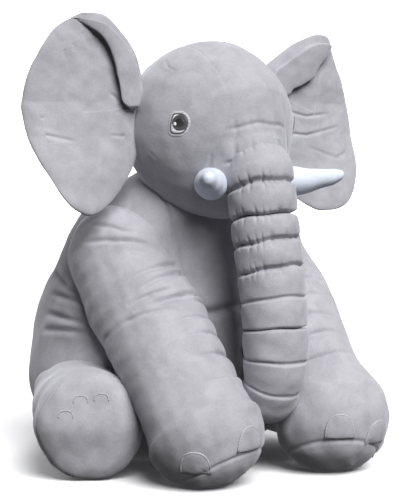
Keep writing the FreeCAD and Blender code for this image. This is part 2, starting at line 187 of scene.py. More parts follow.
def crease(points, path, width, depth):
    """A crease along a path of points, deepest in its middle, with a soft ridge on both sides."""
    path = np.array(path, float)
    best = np.full(points.shape[:-1], 1e9)
    where = np.zeros(points.shape[:-1])
    pieces = len(path) - 1
    for n, (a, b) in enumerate(zip(path, path[1:])):
        t = np.clip(((points - a) @ (b - a)) / ((b - a) @ (b - a)), 0, 1)
        far = np.linalg.norm(points - a - t[..., None] * (b - a), axis=-1)
        where = np.where(far < best, (n + t) / pieces, where)
        best = np.minimum(best, far)
    strength = np.sqrt(np.clip(np.sin(math.pi * np.clip(where, 0.02, 0.98)), 0, 1))
    return depth * strength * (0.35 * bell(best, width * 3) - bell(best, width))


def outward(grid):
    """The outward direction at every point of a skin."""
    across = np.roll(grid, -1, axis=1) - np.roll(grid, 1, axis=1)
    normal = np.cross(across, np.gradient(grid, axis=0))
    normal = normal / np.maximum(np.linalg.norm(normal, axis=-1, keepdims=True), 1e-9)
    away = ((grid - grid.mean((0, 1))) * normal).sum(-1)
    return normal if away[2:-2].sum() > 0 else -normal


def push(grid, amount):
    """The skin moved outwards by an amount at every point."""
    return grid + outward(grid) * amount[..., None]


def rest_on_floor(grid, softness):
    """The skin spreads flat on the floor in place of going below it."""
    z = grid[..., 2]
    grid = grid.copy()
    grid[..., 2] = np.where(z < softness, softness * np.exp(np.minimum(z - softness, 0) / softness), z)
    return grid


def solid(name, points, faces, finish):
    """A smooth mesh object at the origin whose faces point outwards."""
    mesh = bpy.data.meshes.new(name)
    mesh.from_pydata([tuple(p) for p in np.array(points) * MM], [], faces)
    mesh.update()
    mesh.calc_loop_triangles()
    place = np.array([v.co[:] for v in mesh.vertices])
    place -= place.mean(0)
    corners = place[np.array([t.vertices[:] for t in mesh.loop_triangles])]
    if (corners[:, 0] * np.cross(corners[:, 1], corners[:, 2])).sum() < 0:
        mesh.flip_normals()
    mesh.shade_smooth()
    mesh.materials.append(finish)
    piece = bpy.data.objects.new(name, mesh)
    bpy.context.scene.collection.objects.link(piece)
    return piece


def closed(grid, base=0):
    """Points and faces of a skin whose first and last rows close to a point each."""
    rows, columns = grid.shape[:2]
    points = np.vstack([grid[0].mean(0)[None], grid[1:-1].reshape(-1, 3), grid[-1].mean(0)[None]])
    last, foot = base + len(points) - 1, base + 1 + (rows - 3) * columns
    faces = []
    for c in range(columns):
        d = (c + 1) % columns
        faces += [(base, base + 1 + c, base + 1 + d), (last, foot + d, foot + c)]
    for r in range(rows - 3):
        a, b = base + 1 + r * columns, base + 1 + (r + 1) * columns
        faces += [(a + c, b + c, b + (c + 1) % columns, a + (c + 1) % columns) for c in range(columns)]
    return points, faces


def skin(name, grid, finish):
    """One piece made of one closed skin."""
    return solid(name, *closed(grid), finish)


def several(name, grids, finish):
    """One piece made of a few separate closed skins, such as a pair of eyes."""
    points, faces = [], []
    for grid in grids:
        more, sides = closed(grid, sum(len(p) for p in points))
        points.append(more)
        faces += sides
    return solid(name, np.vstack(points), faces, finish)


def settle(piece, body, nodes):
    """Ties a finished piece to the body it moves with and the CAD nodes it stands for."""
    if body:
        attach(piece, body)
    if nodes:
        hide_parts(*nodes)
    return piece


def limb(start, end, up, profile, rows, columns):
    """A skin round the line from start to end, through (distance along it, radius) keys.

    Gives the points, how far along the line each row is, and the angle of each column from up.
    """
    start, end = np.array(start, float), np.array(end, float)
    ahead = unit(end - start)
    up = unit(np.array(up, float) - ahead * np.dot(up, ahead))
    side = np.cross(ahead, up)
    outline = through(profile, rows)
    angle = np.linspace(0, 2 * math.pi, columns, endpoint=False)
    spoke = np.cos(angle)[:, None] * up + np.sin(angle)[:, None] * side
    grid = start + outline[:, 0, None, None] * ahead
    return grid + np.maximum(outline[:, 1], 0.01)[:, None, None] * spoke, outline[:, 0], angle


def from_angle(angle, centre):
    """How far an angle is from a centre, between -pi and pi."""
    return (angle - centre + math.pi) % (2 * math.pi) - math.pi


# --- materials ------------------------------------------------------------------------------------

def node(tree, kind, links=(), **settings):
    """Adds a node, sets its inputs or properties by name and links sockets into it."""
    made = tree.nodes.new(kind)
    for name, value in settings.items():
        if name in made.inputs:
            made.inputs[name].default_value = value
        else:
            setattr(made, name, value)
    for source, target in links:
        tree.links.new(source, made.inputs[target])
    return made


def blank(name, **settings):
    """A new material whose shader has the given constants."""
    material = bpy.data.materials.new(name)
    material.use_nodes = True
    tree = material.node_tree
    shader = tree.nodes["Principled BSDF"]
    for socket, value in settings.items():
        shader.inputs[socket].default_value = value
    return material, tree, shader


def plush(name, lit, brushed, pile, sheen):
    """Knitted short-pile polyester plush.

    To the eye it is a matt velvet, paler where it turns away, whose pile lies in cloudy patches. The
    real tufts are about 0.4 mm apart, too fine to show, so they are drawn a few times as coarse.
    """
    size = sizes()
    material, tree, shader = blank(name, **{
        "Roughness": 0.92, "Specular IOR Level": 0.2, "Sheen Weight": sheen, "Sheen Roughness": 0.45,
        "Sheen Tint": (0.92, 0.92, 1.0, 1.0)})
    where = node(tree, "ShaderNodeTexCoord").outputs["Object"]
    cloud = node(tree, "ShaderNodeTexNoise", [(where, "Vector")], Scale=1 / size.brushing, Detail=3.0,
                 Roughness=0.55, Distortion=0.6)
    patch = node(tree, "ShaderNodeMapRange", [(cloud.outputs["Fac"], "Value")],
                 **{"From Min": 0.36, "From Max": 0.64})
    tone = node(tree, "ShaderNodeMix", [(patch.outputs["Result"], 0)], data_type="RGBA")
    tone.inputs[6].default_value, tone.inputs[7].default_value = lit, brushed
    tuft = node(tree, "ShaderNodeTexNoise", [(where, "Vector")], Scale=1 / (pile * 1.5), Detail=2.0)
    fleck = node(tree, "ShaderNodeMapRange", [(tuft.outputs["Fac"], "Value")],
                 **{"From Min": 0.3, "From Max": 0.7, "To Min": 0.95, "To Max": 1.04})
    mixed = node(tree, "ShaderNodeVectorMath", [(tone.outputs[2], 0), (fleck.outputs["Result"], 1)],
                 operation="MULTIPLY")
    fine = node(tree, "ShaderNodeTexNoise", [(where, "Vector")], Scale=1 / pile, Detail=3.0)
    rough = node(tree, "ShaderNodeTexNoise", [(where, "Vector")], Scale=1 / size.parting, Detail=3.0)
    height = node(tree, "ShaderNodeMath", [(rough.outputs["Fac"], 0), (fine.outputs["Fac"], 2)],
                  operation="MULTIPLY_ADD")
    height.inputs[1].default_value = 1.6
    bump = node(tree, "ShaderNodeBump", [(height.outputs[0], "Height")], Strength=0.35,
                Distance=0.9 * MM)
    tree.links.new(mixed.outputs[0], shader.inputs["Base Color"])
    tree.links.new(bump.outputs[0], shader.inputs["Normal"])
    return material


# makes waves 2.4 mm apart, because threads at their real 0.4 mm would be too fine to show
STITCH_WAVES = 150.0


def thread(name, tint):
    """Rayon thread in satin stitch, or woven as ribbon: close parallel threads with a soft gloss."""
    material, tree, shader = blank(name, Roughness=0.5)
    where = node(tree, "ShaderNodeTexCoord").outputs["Object"]
    rows = node(tree, "ShaderNodeTexWave", [(where, "Vector")], Scale=STITCH_WAVES, Distortion=1.2,
                bands_direction="DIAGONAL")
    # painted shade: the colour falls to three quarters of the tint in the low valleys between the rows
    # of threads, where the bump is lowest
    shade = node(tree, "ShaderNodeMix", [(rows.outputs["Fac"], 0)], data_type="RGBA")
    shade.inputs[6].default_value = (*[c * 0.75 for c in tint[:3]], 1.0)
    shade.inputs[7].default_value = tint
    bump = node(tree, "ShaderNodeBump", [(rows.outputs["Fac"], "Height")], Strength=0.5,
                Distance=0.25 * MM)
    tree.links.new(shade.outputs[2], shader.inputs["Base Color"])
    tree.links.new(bump.outputs[0], shader.inputs["Normal"])
    return material


def paper(name, tint, glow):
    """Seamless studio paper: matt, with nothing on it that shows, and lit from behind if it glows."""
    return blank(name, **{"Base Color": tint, "Roughness": 0.95, "Specular IOR Level": 0.1,
                          "Emission Color": tint, "Emission Strength": glow})[0]


MATERIALS = {}


def material(name):
    """The named finish, made the first time that it is asked for."""
    c, pile = colours(), sizes().pile
    makers = {
        "plush": lambda: plush("grey short-pile plush", c.plush, c.brushed, pile, sheen=0.35),
        "tusk": lambda: plush("white tusk plush", c.tusk, c.tusk, pile * 0.8, sheen=0.2),
        "iris": lambda: thread("dark grey rayon thread", c.iris),
        "pupil": lambda: thread("black rayon thread", c.pupil),
        "white": lambda: thread("white rayon thread", c.white),
        "outline": lambda: thread("pale rayon thread", c.outline),
        "nail": lambda: thread("grey rayon thread", c.nail),
        "ribbon": lambda: thread("white satin ribbon", c.white),
        "floor": lambda: paper("white studio paper", c.floor, glow=0.0),
        "backdrop": lambda: paper("lit studio paper", c.floor, glow=1.0),
    }
    if name not in MATERIALS:
        MATERIALS[name] = makers[name]()
    return MATERIALS[name]


# --- head -----------------------------------------------------------------------------------------

HEAD = JOINTS["head_nod"]
ROOT = JOINTS["trunk_lift"]
# bulges that fill out the round head: two ends of each, their radii and how softly they join
HEAD_BULGES = [
    ((0, -112, 462), (0, -144, 418), 60, 40, 26),   # the brow that the trunk starts from
    ((0, -60, 404), (0, -92, 398), 74, 68, 30),     # the jaw below it
]
# creases on the crown, under the jaw and in front of the right ear, each with its depth
HEAD_CREASES = [
    (((-72, -52, 535), (-79, -70, 524), (-77, -86, 518)), 1.6),
    (((-88, -112, 385), (-92, -70, 362), (-72, -30, 348)), 1.8),
    (((-106, -60, 424), (-104, -80, 404), (-90, -104, 384)), 1.0),
]
FIRST_RING = 411  # height of the ring where the trunk starts


def head_distance(points):
    """Signed distance from the plush of the head."""
    whole = np.linalg.norm(points - HEAD, axis=-1) - sizes().head / MM
    for high, low, wide, narrow, soft in HEAD_BULGES:
        high, line = np.array(high, float), np.subtract(low, high).astype(float)
        t = np.clip(((points - high) @ line) / (line @ line), 0, 1)
        bulge = np.linalg.norm(points - high - t[..., None] * line, axis=-1)
        bulge -= wide + t * (narrow - wide)
        h = np.clip(0.5 + 0.5 * (bulge - whole) / soft, 0, 1)
        whole = bulge + (whole - bulge) * h - soft * h * (1 - h)
    return whole


def head_surface(directions):
    """Points of the plush in the given directions from the middle of the head."""
    low = np.full(directions.shape[:-1], 60.0)
    high = np.full(directions.shape[:-1], 210.0)
    for _ in range(22):
        middle = (low + high) / 2
        inside = head_distance(HEAD + directions * middle[..., None]) < 0
        low, high = np.where(inside, middle, low), np.where(inside, high, middle)
    return HEAD + directions * low[..., None]


def make_head():
    """The head, with its gusset seams and the brow gathered to the trunk."""
    polar = np.linspace(0, math.pi, 230)[:, None]
    turn = np.linspace(0, 2 * math.pi, 300, endpoint=False)[None, :]
    grid = head_surface(np.stack([np.sin(polar) * np.sin(turn), -np.sin(polar) * np.cos(turn),
                                  np.cos(polar) + 0 * turn], axis=-1))
    x, y, z = (grid[..., k] for k in range(3))
    seam = sizes().seam / MM
    amount = 0.9 * lumps(grid, 3, 90) + 0.35 * lumps(grid, 4, 28)
    # the gusset's two seams run from the crown down beside the eyes to the tusks
    side = 42 + 0.0042 * np.maximum(500 - z, 0) ** 1.9
    shown = 0.35 + 0.65 * ease(-z, -455, -425)
    ends = ease(z, 385, 400) * ease(-y, -40, 60)
    amount -= seam * shown * bell(np.abs(x) - np.minimum(side, 62), 1.5) * ends
    # the brow is gathered to the first ring, with a fainter ring above it
    ahead = ease(-y, 120, 150) * ease(-np.abs(x), -54, -34)
    for level, depth, reach in ((FIRST_RING, 6.0, 19), (FIRST_RING + 42, 2.4, 14)):
        off = z - level + 0.0035 * x * x + 1.2 * np.sin(x / 8.0)
        fan = np.cos(x / 2.0 + 1.8 * np.sin(x / 11.0) + 0.03 * off)
        amount -= ahead * depth * bell(off, 2.6)
        amount -= ahead * depth * 0.8 * np.clip(fan, 0, 1) ** 3 * bell(off - 3, reach)
    for path, depth in HEAD_CREASES:
        amount += crease(grid, path, 2.2, depth)
    head = skin("head_cover", push(grid, amount), material("plush"))
    settle(head, "head", ["head_centre_gusset", "head_side_panel_right",
                                   "head_side_panel_left", "head_stuffing"])


# --- embroidery, which lies on the finished plush ---------------------------------------------------

def surface_of(piece):
    """A finished piece as a surface that stitches can be dropped on."""
    mesh = piece.data
    return BVHTree.FromPolygons([v.co[:] for v in mesh.vertices],
                                [face.vertices[:] for face in mesh.polygons])


def laid_on(tree, centre, way, right, flat, lift):
    """Points of a flat drawing, seen along -way, dropped on a surface and raised by lift."""
    up = np.cross(way, right)
    found = []
    for (a, b), height in zip(flat.reshape(-1, 2), np.ravel(lift)):
        start = Vector((centre + way * 130 + right * a + up * b) * MM)
        spot, normal, _, _ = tree.ray_cast(start, Vector(-way))
        found.append(np.array(spot) / MM + np.array(normal) * height)
    return np.array(found).reshape(*flat.shape[:-1], 3)


def patch(tree, centre, way, right, outline, height):
    """A slightly domed patch of stitches inside an outline."""
    middle = np.mean(outline, axis=0)
    # from the middle of the top to the rim, then back to the middle below the plush
    share = np.array([0, 0.3, 0.6, 0.8, 0.92, 0.98, 1.0, 0.99, 0.5, 0.0])
    lift = height * np.array([1, 1, 0.98, 0.93, 0.85, 0.6, 0.1, -1.2, -1.2, -1.2])
    flat = middle + share[:, None, None] * (outline - middle)[None]
    return laid_on(tree, centre, way, right, flat, np.repeat(lift[:, None], len(outline), axis=1))


def eye_outline(scale, sign, points=64):
    """The almond of an eye: round above and towards the trunk, pointed low and outwards."""
    t = np.linspace(0, 2 * math.pi, points, endpoint=False)
    pointed = 1 + 0.30 * bell(from_angle(t, math.radians(222)), 0.42) + 0.16 * bell(
        from_angle(t, math.radians(128)), 0.30) - 0.06 * bell(from_angle(t, math.radians(330)), 0.5)
    half = sizes().eye / MM / 2 * scale
    almond = np.stack([-sign * 0.86 * np.cos(t), 0.95 * np.sin(t)], axis=1)
    return half * almond * pointed[:, None]


def disc(centre, radius, sign, points=40):
    """The circle of an iris, a pupil or a glint, mirrored for the left eye."""
    t = np.linspace(0, 2 * math.pi, points, endpoint=False)
    return np.stack([-sign * (centre[0] + radius * np.cos(t)), centre[1] + radius * np.sin(t)], axis=1)


def make_eyes():
    """Both eyes: six layers of stitches, each a little higher than the last."""
    tree = surface_of(bpy.data.objects["head_cover"])
    layers = {  # name: material, replaced node, height and outline for a side
        "eye_outlines_stitched": ("outline", [], 0.9, lambda g: eye_outline(1.0, g)),
        "eye_rims_stitched": ("iris", ["eye_outlines"], 1.2, lambda g: eye_outline(0.86, g)),
        "eye_whites_stitched": ("white", ["eye_whites"], 1.5, lambda g: eye_outline(0.74, g)),
        "eye_irises_stitched": ("iris", ["eye_irises"], 2.0, lambda g: disc((0.6, 0.9), 10.6, g)),
        "eye_pupils_stitched": ("pupil", ["eye_pupils"], 2.4, lambda g: disc((0.8, 0.9), 6.2, g)),
        "eye_glints_stitched": ("white", ["eye_glints"], 2.9, lambda g: disc((-5.4, -0.6), 2.3, g)),
    }
    for name, (finish, nodes, height, outline) in layers.items():
        grids = []
        for sign in SIDES.values():
            way = unit((sign * 0.81, -0.585, 0.04))
            right = unit(np.cross((0, 0, 1), way))
            grids.append(patch(tree, HEAD, way, right, outline(sign), height))
        settle(several(name, grids, material(finish)), "head", nodes)


def nail_outline(width, tall, points=44):
    """A letter D lying on its flat side: its arch alone, and all of it."""
    t = np.linspace(0, math.pi, points)
    across = width / 2 * np.sign(np.cos(t)) * np.abs(np.cos(t)) ** 0.8
    arch = np.stack([across, tall * np.sin(t) ** 0.75], axis=1)
    base = np.stack([np.linspace(-width / 2, width / 2, 14)[1:-1], np.zeros(12)], axis=1)
    return arch, np.vstack([arch, base])


def sole_seam(side):
    """The plane of a sole's seam: the way it faces and its distance from the middle of the foot."""
    return unit((-SIDES[side] * 0.22, -0.39, -0.89)), 47


# bearings of the toenails from straight ahead, in degrees, outwards positive
FRONT_NAILS = {"right": (-44, 14, 72), "left": (-64, -17, 30)}
HIND_NAILS = (-62, -24, 14)  # from the top of the sole


def make_toenails():
    """Three padded toenails on each front foot, on the sole's seam, and three faint ones behind."""
    size, radius = sizes().nail / MM, sizes().front_foot / MM
    for side, sign in SIDES.items():
        tree = surface_of(bpy.data.objects[f"front_leg_skin_{side}"])
        centre = np.array(FRONT_FEET[side])
        normal, off = sole_seam(side)
        pads, cords = [], []
        for bearing in FRONT_NAILS[side]:
            a = math.radians(bearing)
            level = np.array([-sign * math.sin(a), -math.cos(a), 0])
            rise = np.radians(np.linspace(20, -60, 400))
            ways = np.cos(rise)[:, None] * level + np.sin(rise)[:, None] * np.array([0, 0, 1])
            base = rise[np.argmax(ways @ normal > (off - 2) / radius)]
            way = math.cos(base + 0.2) * level + math.sin(base + 0.2) * np.array([0, 0, 1])
            right = unit(np.cross((0, 0, 1), way))
            foot = centre - np.cross(way, right) * math.tan(0.2) * radius
            arch, outline = nail_outline(size * 1.2, size)
            pads.append(patch(tree, foot, way, right, outline, 2.0))
            cords.append(cord(laid_on(tree, foot, way, right, arch, np.full(len(arch), 0.9)), 1.2))
        pad = several(f"front_toenail_pads_{side}", pads, material("plush"))
        settle(pad, f"front_leg_{side}", [f"front_toenails_{side}"])
        line = several(f"front_toenail_stitches_{side}", cords, material("nail"))
        settle(line, f"front_leg_{side}", [])
        tree = surface_of(bpy.data.objects[f"hind_leg_skin_{side}"])
        hip = JOINTS[f"hind_leg_swing_{side}"]
        face = unit(np.array(HIND_FEET[side]) - hip)
        across = unit(np.cross((0, 0, 1), face))
        up = np.cross(face, across)
        cords = []
        for bearing in HIND_NAILS:
            a = math.radians(bearing)
            spot = np.array(HIND_FEET[side]) + (-sign * across * math.sin(a) + up * math.cos(a)) * 40
            arch, _ = nail_outline(size * 0.6, size * 0.3)
            cords.append(cord(laid_on(tree, spot, face, across, arch, np.full(len(arch), 0.2)), 0.7))
        line = several(f"hind_toenail_stitches_{side}", cords, material("nail"))
        settle(line, f"hind_leg_{side}", [f"hind_toenails_{side}"])


def cord(line, radius, columns=8):
    """A round cord of stitches along a line, closed at both ends."""
    line = np.vstack([line[0], line, line[-1]])
    ahead = unit(np.gradient(line, axis=0) + 1e-6)
    side = unit(np.cross(ahead, (0.13, 0.21, 0.97)))
    up = np.cross(side, ahead)
    t = np.linspace(0, 2 * math.pi, columns, endpoint=False)
    size = np.full(len(line), radius)
    size[[0, -1]] = 0.01
    return line[:, None] + size[:, None, None] * (np.cos(t)[None, :, None] * up[:, None]
                                                  + np.sin(t)[None, :, None] * side[:, None])


# --- trunk ----------------------------------------------------------------------------------------

RINGS = [  # height of each stitched ring and how hard it draws the plush in
    (FIRST_RING, 1.0), (372, 1.0), (335, 1.0), (301, 0.95), (267, 0.85), (230, 0.42), (194, 0.4),
    (156, 0.4), (122, 0.3),
]


def trunk_line(count):
    """The middle of the trunk, from inside the brow to its curled tip."""
    bend, curl = JOINTS["trunk_bend"], JOINTS["trunk_curl"]
    return through([ROOT + (0, 34, 70), ROOT + (0, 12, 36), ROOT + (0, -2, 2), ROOT + (0, -10, -40),
                    bend + (0, 1, 0), (bend + curl) / 2 + (0, -3, 0), curl, curl + (0, 5, -30),
                    curl + (0, 17, -52), curl + (0, 36, -64)], count)


def trunk_part(name, first, last, nodes):
    """The trunk between two of its rings, tied to no body.

    Each ring wanders a little up and down, draws the plush in and gathers it into a fan of folds,
    most of all on the front; between two rings the filling puffs the plush out.
    """
    line = trunk_line(900)
    run = np.r_[0, np.cumsum(np.linalg.norm(np.diff(line, axis=0), axis=1))]
    rings = np.array([np.interp(-z, -line[:, 2], run) for z, _ in RINGS])
    pulls = [pull for _, pull in RINGS]
    low = 0.0 if first is None else rings[first] - 1
    high = run[-1] if last is None else rings[last] + 1
    s = np.linspace(low, high, int((high - low) / 1.3))
    side = np.array([1.0, 0, 0])
    angle = np.linspace(0, 2 * math.pi, 200, endpoint=False)
    face = 0.5 + 0.5 * np.cos(angle)
    wander = [pull * (1.4 * np.sin(angle * 2 + k) + 0.9 * np.sin(angle * 5 + 2.3 * k) + 5 * (1 - face))
              for k, pull in enumerate(pulls)]
    along = np.repeat(s[:, None], len(angle), axis=1)
    for ring in (first, last):  # the ends follow the rings that they meet at
        if ring is not None:
            along += wander[ring] * ease(-np.abs(s - rings[ring]), -24, 0)[:, None]
    centre = np.stack([np.interp(along, run, line[:, k]) for k in range(3)], axis=-1)
    ahead = unit(np.stack([np.interp(along, run, np.gradient(line[:, k])) for k in range(3)], axis=-1))
    radius = sizes().trunk / MM * np.interp(s, [0, 30, 60, 110, 300, run[-1] - 70, run[-1]],
                                            [0.5, 0.96, 1.06, 1.02, 1.0, 0.97, 0.78])
    amount = np.zeros((len(s), len(angle)))
    for k, (place, pull) in enumerate(zip(rings, pulls)):
        off = along - place - wander[k]
        reach = 0.3 + 0.7 * ease(face, 0.1, 0.5)
        fan = np.cos(19 * angle + 2.2 * np.sin(3 * angle + k) + 1.4 * np.sin(7 * angle + 2 * k))
        amount -= sizes().groove / MM * pull ** 0.8 * reach * bell(off, 1.0 + 1.6 * pull)
        amount -= 3.4 * pull ** 4 * reach * np.clip(fan, 0, 1) ** 3 * bell(off, 8)
    gap = np.interp(s, rings, np.arange(len(rings)), left=-0.5, right=len(rings) - 0.5)
    puff = np.abs(np.sin(math.pi * gap)) ** 0.7 * np.interp(s, rings, pulls) * 3.4
    amount += puff[:, None] * (0.4 + 0.6 * face)
    ends = np.ones(len(s))
    if last is None:
        radius = radius * np.sqrt(1 - np.clip((s - high + 28) / 28, 0, 1) ** 2)
        ends = np.sqrt(np.clip((high - s) / 4.0, 0, 1))
    else:
        ends = np.sqrt(np.clip((high - s) / 1.6, 0, 1))
    ends *= np.sqrt(np.clip((s - low) / (4.0 if first is None else 1.6), 0, 1))
    amount = (amount + radius[:, None]) * ends[:, None]
    spoke = np.cos(angle)[:, None] * np.cross(ahead, side) + np.sin(angle)[:, None] * side
    grid = centre + amount[..., None] * spoke
    grid = push(grid, 0.5 * lumps(grid, 21, 30) * ends[:, None])
    piece = settle(skin(name, grid, material("plush")), None, nodes)
    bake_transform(piece)


def make_trunk():
    """The three parts of the trunk, each made in place and tied to no body."""
    trunk_part("trunk_upper_skin", None, 2,
               ["trunk_upper_cover", "trunk_upper_stuffing"])
    trunk_part("trunk_middle_skin", 2, 6,
               ["trunk_middle_cover", "trunk_middle_stuffing"])
    trunk_part("trunk_tip_skin", 6, None,
               ["trunk_tip_cover", "trunk_tip_stuffing"])


# --- torso ----------------------------------------------------------------------------------------

TORSO = [  # height, half width, half depth, middle
    (2, 2, 2, 60), (1, 60, 50, 60), (5, 116, 96, 62), (34, 164, 138, 66), (105, 188, 160, 71),
    (205, 172, 152, 72), (270, 150, 134, 58), (328, 131, 110, 38), (362, 106, 86, 18),
    (390, 70, 56, -2), (402, 2, 2, -4),
]


HAUNCH_CREASES = [  # on the left haunch; the right one is mirrored
    (((154, 96, 250), (165, 49, 234), (158, 0, 217)), 8.0),
    (((170, 88, 226), (165, 33, 220), (154, -12, 212)), 8.0),
    (((177, 92, 200), (171, 29, 194), (156, -16, 190)), 8.0),
    (((181, 86, 176), (170, 19, 180), (156, -20, 178)), 6.0),
]


def make_torso():
    """The torso, pear-shaped, with its belly panel, back seam and creased haunches."""
    outline = through(TORSO, 260)
    angle = np.linspace(0, 2 * math.pi, 330, endpoint=False)
    z = np.repeat(outline[:, 0, None], len(angle), axis=1)
    x = outline[:, 1, None] * np.sin(angle)
    y = outline[:, 3, None] - outline[:, 2, None] * np.cos(angle)
    grid = np.stack([x, y, z], axis=-1)
    front = ease(np.cos(angle), 0.0, 0.5)
    seam = sizes().seam / MM
    amount = 2.0 * lumps(grid, 11, 110) + 0.5 * lumps(grid, 12, 40)
    amount -= 2.2 * seam * bell(np.abs(x) - 36 - 31 * (z / 330) ** 2, 2.4) * front
    amount -= 7.0 * bell(z - 205 - 4 * np.sin(x / 30), 7) * front * ease(90 - np.abs(x), 0, 40)
    amount -= 1.3 * seam * bell(x, 2.2) * (1 - front) * ease(z, 20, 60)
    # the haunch is pulled into level creases behind each front leg
    for sign in SIDES.values():
        for path, depth in HAUNCH_CREASES:
            amount += crease(grid, [(sign * x_, y_, z_) for x_, y_, z_ in path], 4.2, depth)
    grid = rest_on_floor(push(grid, amount), 7.0)
    torso = skin("torso_cover", grid, material("plush"))
    settle(torso, "torso", ["belly_panel", "torso_side_panel_right", "torso_side_panel_left",
                                     "torso_stuffing"])


# --- legs -----------------------------------------------------------------------------------------

FRONT_FEET = {"right": (-95.0, -172.0, 68.0), "left": (97.0, -188.0, 68.0)}
HIND_FEET = {"right": (-206.0, -88.0, 68.0), "left": (206.0, -88.0, 68.0)}


SHOULDER_FOLDS = [  # on the left leg; the right one is mirrored
    (((158, -14, 322), (133, -49, 314), (98, -60, 304)), 6.0),
    (((172, -12, 300), (145, -52, 303), (119, -66, 300), (86, -72, 286)), 7.0),
    (((136, -108, 243), (116, -112, 252), (92, -104, 257)), 5.0),
    (((158, -98, 224), (133, -115, 239), (104, -119, 243)), 5.5),
    (((174, -63, 177), (162, -106, 206), (143, -123, 217), (109, -136, 218)), 5.5),
]


def make_front_legs():
    """Both front legs: ribs on the inner side, folds at the shoulder and a seamed sole."""
    size = sizes().front_foot / MM
    for side, sign in SIDES.items():
        shoulder = JOINTS[f"front_leg_swing_{side}"] + (sign * 6, 8, 0)
        foot = np.array(FRONT_FEET[side])
        reach = np.linalg.norm(foot - shoulder)
        profile = [(-62, 0), (-56, 32), (-28, 56), (10, 65), (60, 68), (120, 69), (180, 68), (228, 67),
                   (252, 69), (275, 73), (reach, size), (reach + 26, size - 5), (reach + 52, size - 23),
                   (reach + 68, size - 46), (reach + 75, 0)]
        grid, s, angle = limb(shoulder, foot, (0, -0.77, 0.64), profile, 260, 200)
        inner = from_angle(angle, sign * 1.25)
        near = ease(math.pi - np.abs(inner), 1.35, 2.5)
        amount = 1.8 * lumps(grid, 31 + sign, 80) + 0.5 * lumps(grid, 33 + sign, 26)
        places = [118, 145, 173, 203, 236]
        for k, place in enumerate(places):
            slant = 9.0 * np.sin(inner * 0.9) * (1 if k < 2 else 0.4) + 1.2 * np.sin(inner * 4 + k)
            amount -= 6.0 * near * bell(s[:, None] - place - slant, 2.2)
        gap = np.interp(s, places, np.arange(len(places)), left=-0.5, right=len(places) - 0.5)
        swell = np.abs(np.sin(math.pi * gap)) * ease(s, 92, 118) * ease(-s, -262, -236)
        amount += 3.6 * swell[:, None] * near
        # folds fan out from the armpit over the shoulder
        for k, (turn, high) in enumerate(((0.2, 44), (-0.05, 66), (0.35, 90))):
            tilt = s[:, None] - high - 34 * np.sin(inner * 0.6 + turn)
            amount -= 7.0 * ease(math.pi - np.abs(inner), 0.9, 2.2) * bell(tilt, 3.6)
        for path, depth in SHOULDER_FOLDS:
            amount += crease(grid, [(sign * x, y, z) for x, y, z in path], 3.4, depth)
        # the sole's seam lies in a tilted plane under the foot
        facing, off = sole_seam(side)
        height = (grid - foot) @ facing
        beyond = ease(s, reach - 40, reach)[:, None]
        amount -= 2.0 * bell(height - off, 1.8) * beyond
        amount += 1.2 * bell(height - off - 11, 8.0) * beyond
        grid = rest_on_floor(push(grid, amount), 8.0)
        piece = skin(f"front_leg_skin_{side}", grid, material("plush"))
        settle(
            piece, f"front_leg_{side}",
            [f"front_leg_cover_{side}", f"front_sole_{side}", f"front_leg_stuffing_{side}"])


def make_hind_legs():
    """Both hind legs, with their round soles turned forward."""
    size = sizes().hind_foot / MM
    for side, sign in SIDES.items():
        hip = JOINTS[f"hind_leg_swing_{side}"] + (-sign * 8, 4, -12)
        sole = np.array(HIND_FEET[side])
        reach = np.linalg.norm(sole - hip)
        profile = [(-62, 0), (-55, 34), (-28, 54), (10, 60), (60, 64.5), (105, 67.5),
                   (reach - 24, size + 1), (reach - 8, size - 3), (reach, size - 14),
                   (reach + 5, size - 34), (reach + 7, 16), (reach + 7.5, 0)]
        grid, s, angle = limb(hip, sole, (0, 0, 1), profile, 200, 200)
        amount = 1.6 * lumps(grid, 41 + sign, 80) + 0.5 * lumps(grid, 43 + sign, 26)
        amount -= 2.4 * bell(s[:, None] - (reach - 15) + 0.8 * np.sin(6 * angle), 1.8)
        grid = rest_on_floor(push(grid, amount), 5.0)
        piece = skin(f"hind_leg_skin_{side}", grid, material("plush"))
        settle(
            piece, f"hind_leg_{side}",
            [f"hind_leg_cover_{side}", f"hind_sole_{side}", f"hind_leg_stuffing_{side}"])


# --- ears -----------------------------------------------------------------------------------------

EAR_MIDDLE = np.array([76.0, 466.0])  # how far out from the hinge and how high
# round each ear: how far out from its hinge and how high, clockwise from the top as seen from ahead
EAR_RIM = {
    "right": [(73, 589), (93, 584), (110, 570), (127, 543), (138, 520), (145, 492), (149, 460),
              (145, 434), (140, 413), (133, 394), (117, 364), (98, 344), (77, 337), (62, 340),
              (44, 349), (28, 363), (12, 384), (3, 402), (0, 425), (0, 450), (0, 485), (0, 510),
              (6, 532), (19, 554), (36, 573), (53, 586)],
    "left": [(87, 570), (104, 568), (117, 560), (134, 532), (149, 507), (159, 479), (158, 450),
             (154, 422), (145, 382), (134, 357), (118, 340), (98, 332), (76, 331), (56, 339),
             (36, 352), (16, 374), (3, 396), (-3, 420), (-4, 450), (-8, 480), (-15, 508),
             (-14, 525), (7, 540), (34, 556), (62, 567)],
}
# the rim folded over to the front: the bearings where the fold begins, is full, starts to fade and
# ends, and how far it reaches
EAR_FOLD = {"right": (-86, -46, -40, 6, 30), "left": (-72, -50, -10, 26, 42)}


